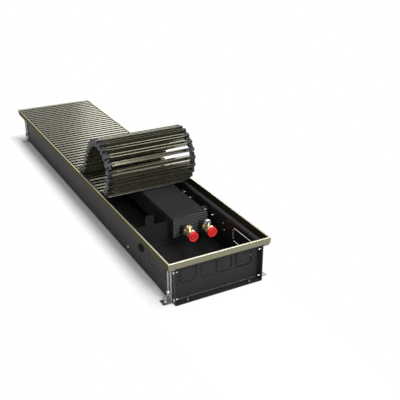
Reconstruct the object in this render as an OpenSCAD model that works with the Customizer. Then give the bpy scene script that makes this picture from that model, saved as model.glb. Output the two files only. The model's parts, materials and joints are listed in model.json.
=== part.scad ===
// Trench convector heater with a roll-up grille, laid open at its connection end.
// X runs along the trough towards the pipe connections, Z is up, and the origin
// is on the floor in the middle of the trough.

/* [Frame] */
// Length over the frame rims
rim_l = 1246; // [1100:2:1500]
// Width over the frame rims
rim_w = 265; // [255:1:285]
// Height from the floor to the top of the frame
total_h = 114; // [108:1:130]
// Height of the outer band of a rim
rim_band_h = 15; // [12:0.5:18]
// Width of the bright lip on top of a rim
rim_lip_w = 4.5; // [4.2:0.1:6]
// Wall of the rim profile
rim_wall = 1.2; // [1:0.1:1.4]
// Gap left in each mitre of the frame
mitre_gap = 0.15; // [0.1:0.05:0.5]

/* [Trough] */
// How far a rim stands out past the long wall
rim_overhang = 17.2; // [15:0.1:19]
// How far a rim stands out past the end of the trough
end_overhang = 3.6; // [3.4:0.1:5]
// Thickness of the folded sheet
sheet_t = 1.2; // [1:0.1:1.5]
// Inner radius of each fold
fold_r = 0.8; // [0.4:0.1:1.2]
// Depth of the recess in front of an end wall
end_recess = 20; // [18:0.5:26]
// Width of the slits round the knock-outs
slit_w = 2.2; // [1:0.1:2.6]
// Metal bridge left at each corner of a knock-out
slit_bridge = 3; // [2:0.5:5]
// Height of the lower edge of the knock-outs
knockout_z = 44; // [36:1:50]
// From the ledge down to the knock-outs' upper edge
knockout_drop = 12.15; // [10:0.05:20]
// Metal left beside the outer knock-outs of an end wall
knockout_margin = 21; // [16:1:26]
// Gap between an outer and an inner knock-out in an end wall
knockout_gap = 13; // [8:1:16]
// Length of the knock-out in a long wall
side_knockout_l = 87; // [60:1:90]
// From the end of the trough to the knock-out in a long wall
side_knockout_end = 48; // [46:1:60]
// From the end of the trough to the cable entry
cable_entry_end = 182; // [170:1:200]
// Height of the cable entry
cable_entry_z = 62; // [52:1:70]
// Diameter of the cable entry hole
cable_entry_d = 20; // [14:1:22]
// How far the nose of the cable grommet stands out
grommet_nose = 9; // [7:0.5:12]

/* [Grille] */
// Distance from slat to slat
slat_pitch = 20; // [18:0.5:22]
// Width of a slat
slat_w = 10; // [8:0.5:11]
// Depth of a slat
slat_h = 18; // [16:0.5:20]
// Wall of a slat's leg
slat_leg_t = 1.5; // [1.2:0.1:2]
// Thickness of a slat's top
slat_top_t = 2; // [1.5:0.1:2.5]
// Bead along the foot of each leg, as wide as this
slat_bead_w = 2.3; // [1.8:0.1:2.6]
// Height of that bead
slat_bead_h = 2.2; // [1.5:0.1:3]
// Radius of a slat's upper edges
slat_edge_r = 1; // [0.5:0.1:1.4]
// Gap between a slat's end and the rim
slat_end_gap = 2.5; // [1.5:0.1:4]
// Thickness of the rubber strip under the slats
strip_t = 1.5; // [1:0.1:3]
// Width of the rubber strip
strip_w = 9; // [6:0.5:11]
// Play between the slats and what they lie on
seat_gap = 0.35; // [0.2:0.05:0.6]
// Slats in the part that is rolled back
curl_count = 21; // [21:1:21]

/* [Hinge links] */
// Length of a hinge link across the grille
link_w = 14; // [13:0.5:18]
// Thickness of an eye and of a cheek
lane_w = 5.5; // [4:0.1:6]
// Play between an eye and a cheek
lane_gap = 0.5; // [0.3:0.1:1]
// Radius of a hinge pin
pin_r = 2; // [1.5:0.1:2.4]
// Play round a hinge pin
pin_play = 0.06; // [0.04:0.01:0.1]
// Play between an eye and the next link
knuckle_gap = 0.8; // [0.6:0.1:1.2]
// Radius of a link's lower edges
link_edge_r = 1.6; // [0.8:0.1:2.4]
// Length of the tongue that holds a link in its slat
tongue_l = 9; // [6:0.5:14]
// Play of that tongue in the slat
tongue_play = 0.2; // [0.1:0.05:0.4]

/* [Heat exchanger] */
// Width of the fins
fin_w = 100; // [80:1:104]
// From the ledge down to the fins' upper edge
fin_drop = 12.15; // [10:0.05:22]
// Height of the fins' lower edge over the floor
fin_z = 27; // [22:1:28]
// Thickness of a fin
fin_t = 0.5; // [0.4:0.1:0.8]
// Distance from fin to fin
fin_pitch = 6; // [5:0.5:8]
// Gap between the fins and the long wall
fin_wall_gap = 14; // [11:0.5:20]
// From the end of the trough to the exchanger
connection_l = 244; // [235:1:280]
// Room for the return bend at the far end
return_room = 70; // [60:1:90]
// Outer diameter of the tubes
tube_d = 15; // [12:1:18]
// Wall of the tubes
tube_wall = 1; // [0.8:0.1:1.5]
// Distance between the two tubes
tube_spacing = 54; // [46:1:58]
// From the middle of the fins to the middle of the two tubes
tube_shift = 3.5; // [0:0.5:6]
// Play between tube and fin
tube_play = 0.05; // [0.03:0.01:0.1]
// Thickness of an end plate
plate_t = 1.5; // [1.2:0.1:2]
// Radius of the ribs pressed into an end plate
rib_r = 1.4; // [1:0.1:1.8]
// Distance from rib to rib
rib_pitch = 6.5; // [6:0.1:8]

/* [Supports] */
// From the exchanger's face back to the near support
support_back = 28; // [24:1:40]
// From the ledge down to a support's top beside the exchanger
support_drop = 29.15; // [24:0.05:39]
// From the ledge down to its top between exchanger and wall
support_wall_drop = 14.15; // [12:0.05:24]
// Gap between its upright tab and the grille
tab_gap = 3; // [2:0.5:8]
// Width of that tab
tab_w = 25; // [18:1:30]
// From the middle of the trough to that tab
tab_y = 52; // [45:1:60]
// From the ledge down to its low hump beside the wall
hump_drop = 18.15; // [14:0.05:24]
// Width of that hump
hump_w = 24; // [18:1:28]
// Radius of their corners
tab_r = 6; // [3:0.5:8]
// Length of a support's foot
support_foot = 12; // [8:1:18]
// Length of a wall clip
clip_l = 53; // [50:1:60]
// Height of a wall clip's upright leg
clip_h = 15; // [12:1:18]
// Reach of a wall clip over the fins
clip_reach = 17; // [15:1:24]
// From the exchanger's face back to the first wall clip
clip_back = 4; // [0:1:10]
// Distance between the wall clips
clip_step = 124; // [100:1:160]
// Distance between the screws of a wall clip
clip_screw_gap = 39; // [30:1:40]
// Width of the tongue that holds the fins down
clip_tongue_w = 12; // [9:1:13]

/* [Valves] */
// Bare tube between exchanger and valve
stub_l = 30; // [24:1:34]
// Outer radius of a valve body
valve_r = 10; // [9:0.5:11]
// Length of a valve body
valve_l = 21; // [20:1:26]
// Gap between the cap on a valve's boss and the union nut
boss_gap = 1.2; // [1:0.1:2]
// Radius of the boss on a valve
boss_r = 6.5; // [5.5:0.5:7.5]
// Height of the boss over the axis
boss_h = 13; // [12:0.5:16]
// Width across the flats of the union nut
nut_af = 25; // [24:0.5:28]
// Length of the union nut
nut_l = 11; // [9.5:0.5:13]
// Radius of a protective cap
cap_r = 13.6; // [11:0.1:13.8]
// Length of a protective cap past the nut
cap_l = 5.6; // [4.4:0.1:8]
// Radius of the spindle's dust cap
spindle_r = 7.8; // [7:0.1:8.6]
// Height of the spindle's dust cap
spindle_h = 4.5; // [4:0.5:8]
// Radius of the air vent's knob
vent_r = 6; // [5:0.1:7]
// Height of the air vent's knob
vent_h = 9.5; // [8:0.5:12]
// Radius of the flange under that knob
vent_flange_r = 7.6; // [7:0.1:8.4]
// Height of that flange
vent_flange_h = 3; // [2:0.5:4]

/* [Levelling feet] */
// From the end of the trough to a foot's middle
foot_end = 25; // [23:1:30]
// Width of a foot
foot_w = 22; // [20:1:26]
// Gap between the top of a foot and the ledge
foot_top_gap = 7; // [4:0.5:12]
// Reach of a foot's plate on the floor
foot_reach = 22; // [18:1:30]
// Thickness of a foot
foot_t = 2; // [1.5:0.1:2.5]
// Play between a foot and the trough
foot_gap = 0.3; // [0.2:0.1:0.5]
// Width of the slot in the upright
foot_slot_w = 6.4; // [6.2:0.1:7]
// Height of the clamp bolt
bolt_z = 26; // [24:1:32]
// Radius of the clamp bolt
bolt_r = 3; // [2.5:0.1:3]
// Metal left over the slot of a foot
foot_slot_margin = 10; // [8:0.5:14]
// Radius of the fixing hole in a foot's plate
foot_hole_r = 3.5; // [3:0.1:4]

/* [Screws] */
// Radius of a sheet-metal screw
screw_r = 1.9; // [1.5:0.1:2.2]
// Length of a screw under its head
screw_l = 11; // [9:0.5:14]
// Radius of a screw's head
screw_head_r = 3.8; // [3.4:0.1:4.2]
// Height of a screw's head
screw_head_h = 2.4; // [2:0.1:3]

/* [Hidden] */
$fn = 48;
// Cuts run this far past a face
over = 1;
// Play between fixed pieces that lie on each other
lie = 0.1;

body_l = rim_l - 2 * end_overhang;
body_w = rim_w - 2 * rim_overhang;
wall_in = body_w / 2 - sheet_t;
end_wall_x = body_l / 2 - end_recess;
ledge_z = total_h - slat_h - seat_gap - strip_t;
hollow_y = rim_w / 2 - rim_lip_w / 2;
hollow_x = rim_l / 2 - rim_lip_w / 2;
upturn_z = total_h - 2 * rim_wall - fold_r;
knockout_w = (wall_in - lie - knockout_gap - knockout_margin) / 2;
knockout_h = ledge_z - knockout_drop - knockout_z;

// Grille: the slats that fit in the frame, and how many of them stay laid
slat_room = rim_l - 2 * rim_lip_w - slat_w - 2 * seat_gap;
slat_count = floor(slat_room / slat_pitch) + 1;
laid_count = slat_count - curl_count;
first_slat_x = -(slat_count - 1) * slat_pitch / 2;
fold_x = first_slat_x + (laid_count - 0.5) * slat_pitch;
slat_l = rim_w - 2 * rim_lip_w - 2 * slat_end_gap;
hinge_h_share = 0.5;
hinge_h = slat_h * hinge_h_share;
pivot_z = total_h - slat_h + hinge_h;
knuckle_r = (slat_pitch - slat_w) / 2 - knuckle_gap;

// Turn at each hinge of the rolled-back part, in degrees, from the fold to the
// last but one slat. The last but one slat is set so that the last lies flat.
curl_turns = [23, 17, 13, 12, 15, 18, 19, 17, 15, 16, 17, 16, 14, 10, 7, 5, 4, 1, -8];
lean_count = len(curl_turns);
leans = [for (k = [1 : lean_count]) sum_of([for (j = [0 : k - 1]) curl_turns[j]])];
curl_rise = slat_pitch * sum_of([for (a = leans) sin(a)]);
landing_rise = 2 * (slat_h - hinge_h) + seat_gap;
landing_lean = 180 + asin((curl_rise - landing_rise) / slat_pitch);
curl_leans = concat(leans, [landing_lean, 180]);
curl_x = [for (k = 0, s = 0; k < curl_count; s = s + cos(curl_leans[k]), k = k + 1) fold_x + slat_pitch * s];
curl_z = [for (k = 0, s = 0; k < curl_count; s = s + sin(curl_leans[k]), k = k + 1) pivot_z + slat_pitch * s];

// Heat exchanger
exch_x = body_l / 2 - connection_l;
exch_far_x = -body_l / 2 + return_room;
exch_y = wall_in - fin_wall_gap - fin_w / 2;
fin_count = floor((exch_x - exch_far_x - 2 * plate_t) / fin_pitch);
fin_top = ledge_z - fin_drop;
fin_h = fin_top - fin_z;
tube_z = fin_z + fin_h / 2;
tube_y = exch_y + tube_shift;
tube_ys = [tube_y - tube_spacing / 2, tube_y + tube_spacing / 2];
rib_count = floor((fin_h - 2 * rib_r) / rib_pitch) + 1;
plate_room = plate_t + rib_r;

// Supports
support_h = ledge_z - support_drop;
support_wall_h = ledge_z - support_wall_drop;
hump_top = ledge_z - hump_drop;
support_xs = [
    exch_x - support_back,
    (exch_x + exch_far_x) / 2 - fin_pitch / 2,
    exch_far_x + support_back
];
clip_xs = [exch_x - clip_back, exch_x - clip_back - clip_step];
tab_top = total_h - slat_h - tab_gap;
lug_x = support_foot / 2;
lug_z = bolt_z - 3 * sheet_t;
clip_screw_z = fin_top + sheet_t + lie - clip_h / 2;

// Valves
valve_x = exch_x + plate_room + stub_l;
valve_socket = 5;
valve_bore_r = tube_d / 2 - tube_wall;
valve_thread_r = nut_af / 2 - 2.6;
nut_x = valve_x + valve_l - valve_socket;
boss_x = nut_x - boss_gap - max(spindle_r, vent_flange_r);
cap_x = nut_x + nut_l;
cap_stem_r = valve_bore_r + 1.5;

// Levelling feet
foot_x = body_l / 2 - foot_end;
foot_y = body_w / 2 + foot_gap;
foot_hole_y = foot_y + foot_t + (foot_reach - foot_t) / 2;
foot_h = ledge_z - sheet_t - foot_top_gap;
foot_travel = foot_h - foot_slot_margin - bolt_z;

// Screws of one end: along the flange edge of the recess
screw_edge = 5;
flange_screw_x = body_l / 2 - screw_edge;
flange_screw_zs = [total_h / 8, total_h * 3 / 4];
floor_screw_y = body_w * 0.355;

function slat_name(k) = str("grille_slat_", k < 10 ? "0" : "", k);
function sum_of(v, i = 0) = i < len(v) ? v[i] + sum_of(v, i + 1) : 0;
function left_of(d) = [-d[1], d[0]];
function turned(d, a) = [d[0] * cos(a) - d[1] * sin(a), d[0] * sin(a) + d[1] * cos(a)];
function heading(p, i) = (p[i + 1] - p[i]) / norm(p[i + 1] - p[i]);

// Points along one face of a folded sheet, at a distance to the left of its middle line
function bend_points(p, i, r, side, steps) =
    let (d1 = heading(p, i - 1), d2 = heading(p, i))
    let (s = sign(cross(d1, d2)), a = acos(d1 * d2))
    let (c = p[i] - d1 * r * tan(a / 2) + left_of(d1) * s * r)
    [for (j = [0 : steps]) c + left_of(turned(d1, s * a * j / steps)) * (side - s * r)];
function face_points(p, r, side, steps) = concat(
    [p[0] + left_of(heading(p, 0)) * side],
    [for (i = [1 : len(p) - 2]) for (q = bend_points(p, i, r, side, steps)) q],
    [p[len(p) - 1] + left_of(heading(p, len(p) - 2)) * side]
);
function reversed(v) = [for (i = [len(v) - 1 : -1 : 0]) v[i]];

// Cross-section of a sheet folded along a line
module folded_section(line, thickness, inner_r, steps = 5) {
    r = inner_r + thickness / 2;
    polygon(concat(
        face_points(line, r, thickness / 2, steps),
        reversed(face_points(line, r, -thickness / 2, steps))
    ));
}

// Runs a section drawn in Y and Z along X, centred
module along_x(length) {
    rotate([90, 0, 90])
        linear_extrude(length, center = true)
            children();
}

// Runs a section drawn in X and Z along Y, centred
module along_y(length) {
    rotate([90, 0, 0])
        linear_extrude(length, center = true)
            children();
}

// A block centred on X and Y that stands on Z
module block(x, y, z) {
    translate([-x / 2, -y / 2, 0])
        cube([x, y, z]);
}

// A round bar along X from x1 to x2
module bar_x(x1, x2, r) {
    translate([x1, 0, 0])
        rotate([0, 90, 0])
            cylinder(x2 - x1, r = r);
}

// A hole along Y through a long wall
module wall_hole(x, z, r) {
    translate([x, 0, z])
        rotate([90, 0, 0])
            cylinder(2 * sheet_t + 2 * over, r = r, center = true);
}

// The slits round a knock-out, drawn flat, open at their corners by the bridges
module slit_outline(w, h, top) {
    side_h = h - 2 * slit_bridge;
    run = w - 2 * slit_bridge;
    for (s = [-1, 1])
        translate([s * w / 2 - slit_w / 2, slit_bridge])
            square([slit_w, side_h]);
    translate([-run / 2, -slit_w / 2])
        square([run, slit_w]);
    if (top)
        translate([-run / 2, h - slit_w / 2])
            square([run, slit_w]);
}

/* Trough and end walls */

module trough_section() {
    folded_section([
        [-hollow_y, upturn_z],
        [-hollow_y, ledge_z - sheet_t / 2],
        [-body_w / 2 + sheet_t / 2, ledge_z - sheet_t / 2],
        [-body_w / 2 + sheet_t / 2, sheet_t / 2],
        [body_w / 2 - sheet_t / 2, sheet_t / 2],
        [body_w / 2 - sheet_t / 2, ledge_z - sheet_t / 2],
        [hollow_y, ledge_z - sheet_t / 2],
        [hollow_y, upturn_z]
    ], sheet_t, fold_r);
}

module round_knockout() {
    ring_r = cable_entry_d / 2;
    difference() {
        cylinder(2 * sheet_t + 2 * over, r = ring_r, center = true);
        cylinder(2 * sheet_t + 3 * over, r = ring_r - slit_w / 2, center = true);
        for (a = [45, 135])
            rotate([0, 0, a])
                cube([slit_bridge, 2 * ring_r + over, 2 * sheet_t + 3 * over], center = true);
    }
}

module trough() {
    color([0.17, 0.17, 0.18])
        difference() {
            along_x(body_l)
                trough_section();
            for (s = [-1, 1]) {
                knockout_x = body_l / 2 - side_knockout_end - side_knockout_l / 2;
                translate([knockout_x, s * (body_w / 2 - sheet_t / 2), knockout_z])
                    along_y(2 * sheet_t + 2 * over)
                        slit_outline(side_knockout_l, knockout_h - 2, true);
                for (e = [-1, 1]) {
                    translate([0, s * (body_w / 2 - sheet_t / 2), 0])
                        wall_hole(e * foot_x, bolt_z, bolt_r + lie);
                    for (z = flange_screw_zs)
                        translate([0, s * (body_w / 2 - sheet_t / 2), 0])
                            wall_hole(e * flange_screw_x, z, screw_r + lie);
                    translate([e * flange_screw_x, s * floor_screw_y, 0])
                        cylinder(2 * (sheet_t + over), r = screw_r + lie, center = true);
                }
            }
            translate([cable_x(), -(body_w / 2 - sheet_t / 2), 0])
                wall_hole(0, cable_entry_z, cable_entry_d / 2);
            translate([cable_x(), body_w / 2 - sheet_t / 2, cable_entry_z])
                rotate([90, 0, 0])
                    round_knockout();
            for (p = wall_screws())
                translate([0, p[1] * (body_w / 2 - sheet_t / 2), 0])
                    wall_hole(p[0], p[2], screw_r + lie);
        }
}

function cable_x() = body_l / 2 - cable_entry_end;
// Screws through the long walls: x, side and height
function wall_screws() = concat(
    [[support_xs[0] + lug_x, -1, lug_z]],
    [for (x = clip_xs) for (e = [-1, 1]) [x + e * clip_screw_gap / 2, 1, clip_screw_z]]
);

module end_wall_section() {
    top_z = ledge_z - sheet_t / 2;
    floor_z = 1.5 * sheet_t + lie;
    folded_section([
        [hollow_x, upturn_z],
        [hollow_x, top_z],
        [end_wall_x, top_z],
        [end_wall_x, floor_z],
        [body_l / 2, floor_z]
    ], sheet_t, fold_r);
}

module end_wall() {
    span = 2 * (wall_in - lie);
    pair = [knockout_w / 2, 1.5 * knockout_w + knockout_gap];
    flange_h = ledge_z - 4 * sheet_t;
    color([0.19, 0.19, 0.20])
        difference() {
            union() {
                along_y(span)
                    end_wall_section();
                for (s = [-1, 1])
                    translate([end_wall_x, s * (span / 2 - sheet_t / 2) - sheet_t / 2, 1.5 * sheet_t])
                        cube([end_recess, sheet_t, flange_h]);
            }
            for (s = [-1, 1]) {
                for (y = pair)
                    translate([end_wall_x, s * y, knockout_z])
                        along_x(2 * sheet_t)
                            slit_outline(knockout_w, knockout_h + slit_bridge, false);
                translate([flange_screw_x, s * floor_screw_y, 0])
                    cylinder(8 * sheet_t, r = screw_r + lie, center = true);
                for (z = flange_screw_zs)
                    translate([0, s * (span / 2 - sheet_t / 2), 0])
                        wall_hole(flange_screw_x, z, screw_r + lie);
            }
        }
}

/* Frame rims */

module rim_section(reach) {
    outer = reach - rim_wall / 2;
    inner = reach - rim_lip_w + rim_wall / 2;
    top = total_h - rim_wall / 2;
    folded_section([
        [outer, total_h - rim_band_h],
        [outer, top],
        [inner, top],
        [inner, ledge_z + lie]
    ], rim_wall, fold_r / 2);
}

// One mitred rim that runs along X at a distance from the middle
module rim(length, reach) {
    deep = 3 * rim_lip_w;
    half = length / 2 - mitre_gap;
    color([0.62, 0.60, 0.50])
        intersection() {
            along_x(length)
                rim_section(reach);
            linear_extrude(total_h + over)
                polygon([
                    [-half - over, reach + over],
                    [half + over, reach + over],
                    [half - deep, reach - deep],
                    [-half + deep, reach - deep]
                ]);
        }
}

module rubber_strip(s) {
    strip_l = rim_l - 2 * rim_lip_w - 2 * slat_end_gap;
    strip_y = rim_w / 2 - rim_lip_w - slat_end_gap / 2 - strip_w / 2;
    color([0.08, 0.08, 0.08])
        translate([0, s * strip_y, ledge_z])
            block(strip_l, strip_w, strip_t);
}

/* Grille */

// A slat's section, with its hinge line at the origin
module slat_top_section() {
    top = slat_h - hinge_h;
    translate([-slat_w / 2 + slat_edge_r, top - slat_top_t])
        square([slat_w - 2 * slat_edge_r, slat_top_t]);
    translate([-slat_w / 2, top - slat_top_t])
        square([slat_w, slat_top_t - slat_edge_r]);
    for (s = [-1, 1])
        translate([s * (slat_w / 2 - slat_edge_r), top - slat_edge_r])
            circle(slat_edge_r);
}

module slat_leg_section(s) {
    leg_h = slat_h - slat_top_t;
    translate([s * (slat_w / 2 - slat_leg_t / 2) - slat_leg_t / 2, -hinge_h])
        square([slat_leg_t, leg_h + slat_top_t / 2]);
    translate([s * (slat_w / 2 - slat_bead_w / 2) - slat_bead_w / 2, -hinge_h])
        square([slat_bead_w, slat_bead_h]);
}

module slat() {
    leg_l = slat_l - 2 * (link_w + lie);
    color([0.60, 0.59, 0.50])
        union() {
            along_y(slat_l)
                slat_top_section();
            for (s = [-1, 1])
                along_y(leg_l)
                    slat_leg_section(s);
        }
}

// A disc across Y whose outer face is a distance in from the link's outer end
module knuckle(x, inset, thickness, r) {
    translate([x, slat_l / 2 - inset, 0])
        rotate([90, 0, 0])
            cylinder(thickness, r = r);
}

// The web that carries a knuckle
module knuckle_web(s, inset) {
    reach = slat_pitch / 2 - slat_w / 2 + link_edge_r;
    x1 = s > 0 ? slat_w / 2 - link_edge_r : -slat_w / 2 + link_edge_r - reach;
    translate([x1, slat_l / 2 - inset - lane_w, -knuckle_r])
        cube([reach, lane_w, 2 * knuckle_r]);
}

// The block of a link, filling the end of a slat
module link_block_section() {
    top = slat_h - hinge_h - slat_top_t - lie;
    translate([-slat_w / 2, -hinge_h + link_edge_r])
        square([slat_w, top + hinge_h - link_edge_r]);
    translate([-slat_w / 2 + link_edge_r, -hinge_h])
        square([slat_w - 2 * link_edge_r, 2 * link_edge_r]);
    for (s = [-1, 1])
        translate([s * (slat_w / 2 - link_edge_r), -hinge_h + link_edge_r])
            circle(link_edge_r);
}

// A hinge link at the end of a slat: an eye ahead, a cheek with its pin behind
module link(eye, pin) {
    cheek_inset = lane_w + lane_gap;
    tongue_w = slat_w - 2 * slat_bead_w - 2 * tongue_play;
    tongue_h = slat_h - slat_top_t - 2 * slat_bead_h;
    color([0.12, 0.12, 0.13])
        difference() {
            union() {
                translate([0, slat_l / 2 - link_w / 2, 0])
                    along_y(link_w)
                        link_block_section();
                translate([0, slat_l / 2 - link_w - tongue_l / 2 + over / 2, slat_bead_h - hinge_h])
                    block(tongue_w, tongue_l + over, tongue_h);
                if (eye) {
                    knuckle_web(1, 0);
                    knuckle(slat_pitch / 2, 0, lane_w, knuckle_r);
                }
                if (pin) {
                    knuckle_web(-1, cheek_inset);
                    knuckle(-slat_pitch / 2, cheek_inset, lane_w, knuckle_r);
                    knuckle(-slat_pitch / 2, lane_gap, cheek_inset, pin_r);
                }
            }
            if (eye)
                knuckle(slat_pitch / 2, -over, lane_w + 2 * over, pin_r + pin_play);
        }
}

module link_pair(eye, pin) {
    link(eye, pin);
    mirror([0, 1, 0])
        link(eye, pin);
}

module laid_slats() {
    for (i = [0 : laid_count - 1])
        translate([first_slat_x + i * slat_pitch, 0, pivot_z])
            slat();
}

module laid_links() {
    for (i = [0 : laid_count - 1])
        translate([first_slat_x + i * slat_pitch, 0, pivot_z])
            link_pair(true, i > 0);
}

// One slat of the rolled-back part with its two links, counted from the fold
module curled_slat(k) {
    translate([curl_x[k - 1], 0, curl_z[k - 1]])
        rotate([0, -curl_leans[k - 1], 0])
            translate([slat_pitch / 2, 0, 0]) {
                slat();
                link_pair(k < curl_count, true);
            }
}

/* Heat exchanger */

module fin() {
    difference() {
        translate([0, exch_y, fin_z])
            block(fin_t, fin_w, fin_h);
        for (y = tube_ys)
            translate([0, y, tube_z])
                bar_x(-over, over, tube_d / 2 + tube_play);
    }
}

module exchanger_fins() {
    start = exch_far_x + plate_t + fin_pitch / 2;
    span = (fin_count - 1) * fin_pitch;
    color([0.10, 0.10, 0.11]) {
        for (i = [0 : fin_count - 1])
            translate([start + i * fin_pitch, 0, 0])
                fin();
        for (y = tube_ys)
            translate([start, y, tube_z])
                difference() {
                    bar_x(0, span, tube_d / 2 + tube_play + fin_t);
                    bar_x(-over, span + over, tube_d / 2 + tube_play);
                }
    }
}

// The two tubes and their return bend, as one bar of a given radius
module tube_run(r, past) {
    for (y = tube_ys)
        translate([0, y, tube_z])
            bar_x(exch_far_x - plate_room, exch_x + plate_room + stub_l + past, r);
    translate([exch_far_x - plate_room, tube_y, tube_z])
        rotate([0, 0, 90])
            rotate_extrude(angle = 180)
                translate([tube_spacing / 2, 0])
                    circle(r);
}

module exchanger_tubes() {
    color([0.42, 0.42, 0.43])
        difference() {
            tube_run(tube_d / 2, 0);
            tube_run(tube_d / 2 - tube_wall, over);
        }
}

// An end plate with ribs pressed outwards, standing on X = 0 and facing +X
module end_plate() {
    color([0.13, 0.13, 0.14])
        difference() {
            union() {
                translate([plate_t / 2, exch_y, fin_z])
                    block(plate_t, fin_w, fin_h);
                intersection() {
                    translate([0, exch_y, fin_z])
                        block(4 * plate_room, fin_w, fin_h);
                    for (i = [0 : rib_count - 1])
                        translate([plate_t, exch_y, fin_z + 2 * rib_r + i * rib_pitch])
                            rotate([90, 0, 0])
                                cylinder(fin_w, r = rib_r, center = true);
                }
            }
            for (y = tube_ys)
                translate([0, y, tube_z])
                    bar_x(-2 * over, 2 * plate_room + over, tube_d / 2 + tube_play);
            translate([-2 * over, exch_y, fin_z - over])
                block(4 * over, fin_w + 2 * over, fin_h + 2 * over);
        }
}

/* Supports */

module round_top_tab(y, w, top) {
    translate([y - w / 2, 0])
        square([w, top - tab_r]);
    translate([y - w / 2 + tab_r, 0])
        square([w - 2 * tab_r, top]);
    for (s = [-1, 1])
        translate([y + s * (w / 2 - tab_r), top - tab_r])
            circle(tab_r);
}

module support_outline() {
    half = wall_in - lie;
    exch_left = exch_y - fin_w / 2 - lie;
    exch_right = exch_y + fin_w / 2 + lie;
    translate([-half, 0])
        square([2 * half, fin_z - lie]);
    translate([-half, 0])
        square([exch_left + half, support_h]);
    translate([exch_right, 0])
        square([half - exch_right, support_wall_h - clip_h - sheet_t]);
    translate([exch_right, 0])
        square([half - exch_right - 2 * sheet_t, support_wall_h]);
    round_top_tab(-tab_y, tab_w, tab_top);
    round_top_tab(-half + hump_w / 2 + 2 * lie, hump_w, hump_top);
}

module support_section() {
    floor_z = 1.5 * sheet_t + lie;
    folded_section([
        [0, total_h],
        [0, floor_z],
        [support_foot + sheet_t / 2, floor_z]
    ], sheet_t, fold_r);
}

// A plate across the trough; only the near one has a lug screwed to the wall
module support_plate(x, lug = false) {
    color([0.16, 0.16, 0.17])
        translate([x, 0, 0])
            difference() {
                union() {
                    intersection() {
                        along_y(2 * wall_in)
                            support_section();
                        along_x(4 * support_foot)
                            support_outline();
                    }
                    if (lug)
                        translate([lug_x, -wall_in + lie + sheet_t / 2, lug_z - support_foot / 2])
                            block(2 * lug_x, sheet_t, support_foot);
                }
                if (lug)
                    translate([0, -wall_in + sheet_t / 2, 0])
                        wall_hole(lug_x, lug_z, screw_r + lie);
            }
}

// A strip on the long wall with a tongue that holds the fins down
module wall_clip(x) {
    top_z = fin_top + lie + sheet_t / 2;
    wall_y = wall_in - lie - sheet_t / 2;
    translate([x, 0, 0])
        difference() {
            union() {
                translate([0, wall_y, top_z - clip_h])
                    block(clip_l, sheet_t, clip_h - 2 * sheet_t);
                translate([-clip_screw_gap / 2, 0, 0])
                    along_x(clip_tongue_w)
                        folded_section([
                            [wall_y, top_z - clip_h],
                            [wall_y, top_z],
                            [wall_y - clip_reach, top_z]
                        ], sheet_t, fold_r);
            }
            for (e = [-1, 1])
                translate([0, wall_y, 0])
                    wall_hole(e * clip_screw_gap / 2, clip_screw_z, screw_r + lie);
        }
}

module wall_clips() {
    color([0.20, 0.20, 0.21])
        for (x = clip_xs)
            wall_clip(x);
}

/* Valves */

// A valve: inlet collar, body with a waist, threaded outlet and a boss on top
module valve_body(y) {
    collar_l = 5;
    waist_l = 4;
    hex_l = 6;
    body_end = nut_x - valve_x;
    color([0.78, 0.64, 0.36])
        translate([valve_x, y, tube_z])
            difference() {
                union() {
                    bar_x(-valve_socket, 0, valve_r - 1);
                    bar_x(-valve_socket, collar_l - valve_socket, valve_r + 1);
                    bar_x(0, body_end - waist_l, valve_r);
                    bar_x(0, body_end, valve_thread_r - 1);
                    bar_x(0, valve_l, valve_thread_r - 1);
                    translate([boss_x - valve_x, 0, 0]) {
                        cylinder(boss_h, r = boss_r);
                        translate([0, 0, valve_r - 1])
                            cylinder(hex_l / 2, r = boss_r + 1, $fn = 6);
                    }
                }
                bar_x(-valve_socket - over, 0, tube_d / 2 + tube_play);
                bar_x(-over, valve_l + over, valve_bore_r);
                translate([boss_x - valve_x, 0, 0])
                    cylinder(boss_h + over, r = boss_r / 2);
            }
}

module union_nut(y) {
    corner_r = nut_af / 2 * 1.08;
    color([0.80, 0.67, 0.40])
        translate([nut_x, y, tube_z])
            difference() {
                intersection() {
                    rotate([0, 90, 0])
                        rotate([0, 0, 30])
                            cylinder(nut_l, r = nut_af / 2 / cos(30), $fn = 6);
                    bar_x(0, nut_l, corner_r);
                }
                bar_x(-over, nut_l + over, valve_thread_r - 1 + lie);
            }
}

module protective_cap(y) {
    groove_r = cap_r * 0.5;
    groove_w = 2.2;
    groove_deep = 1.4;
    stem_l = nut_l - (valve_l - (nut_x - valve_x)) - seat_gap;
    color([0.85, 0.12, 0.12])
        translate([cap_x + seat_gap, y, tube_z])
            difference() {
                union() {
                    bar_x(0, cap_l - 1, cap_r);
                    bar_x(cap_l - 1, cap_l, cap_r - 1);
                    bar_x(-stem_l, 0, cap_stem_r);
                }
                difference() {
                    bar_x(cap_l - groove_deep, cap_l + over, groove_r + groove_w / 2);
                    bar_x(cap_l - 2 * groove_deep, cap_l + 2 * over, groove_r - groove_w / 2);
                }
                bar_x(cap_l - groove_deep, cap_l + over, groove_r / 3);
            }
}

module dust_cap() {
    stem_h = boss_h - valve_r;
    color([0.86, 0.76, 0.52])
        translate([boss_x, tube_ys[0], tube_z + boss_h + seat_gap]) {
            difference() {
                union() {
                    cylinder(spindle_h - 1, r = spindle_r);
                    cylinder(spindle_h, r = spindle_r - 1);
                    translate([0, 0, -stem_h])
                        cylinder(stem_h + over, r = boss_r / 2 - pin_play);
                }
                translate([0, 0, spindle_h - 1.5])
                    cylinder(spindle_h, r = spindle_r / 3, $fn = 6);
            }
        }
}

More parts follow.
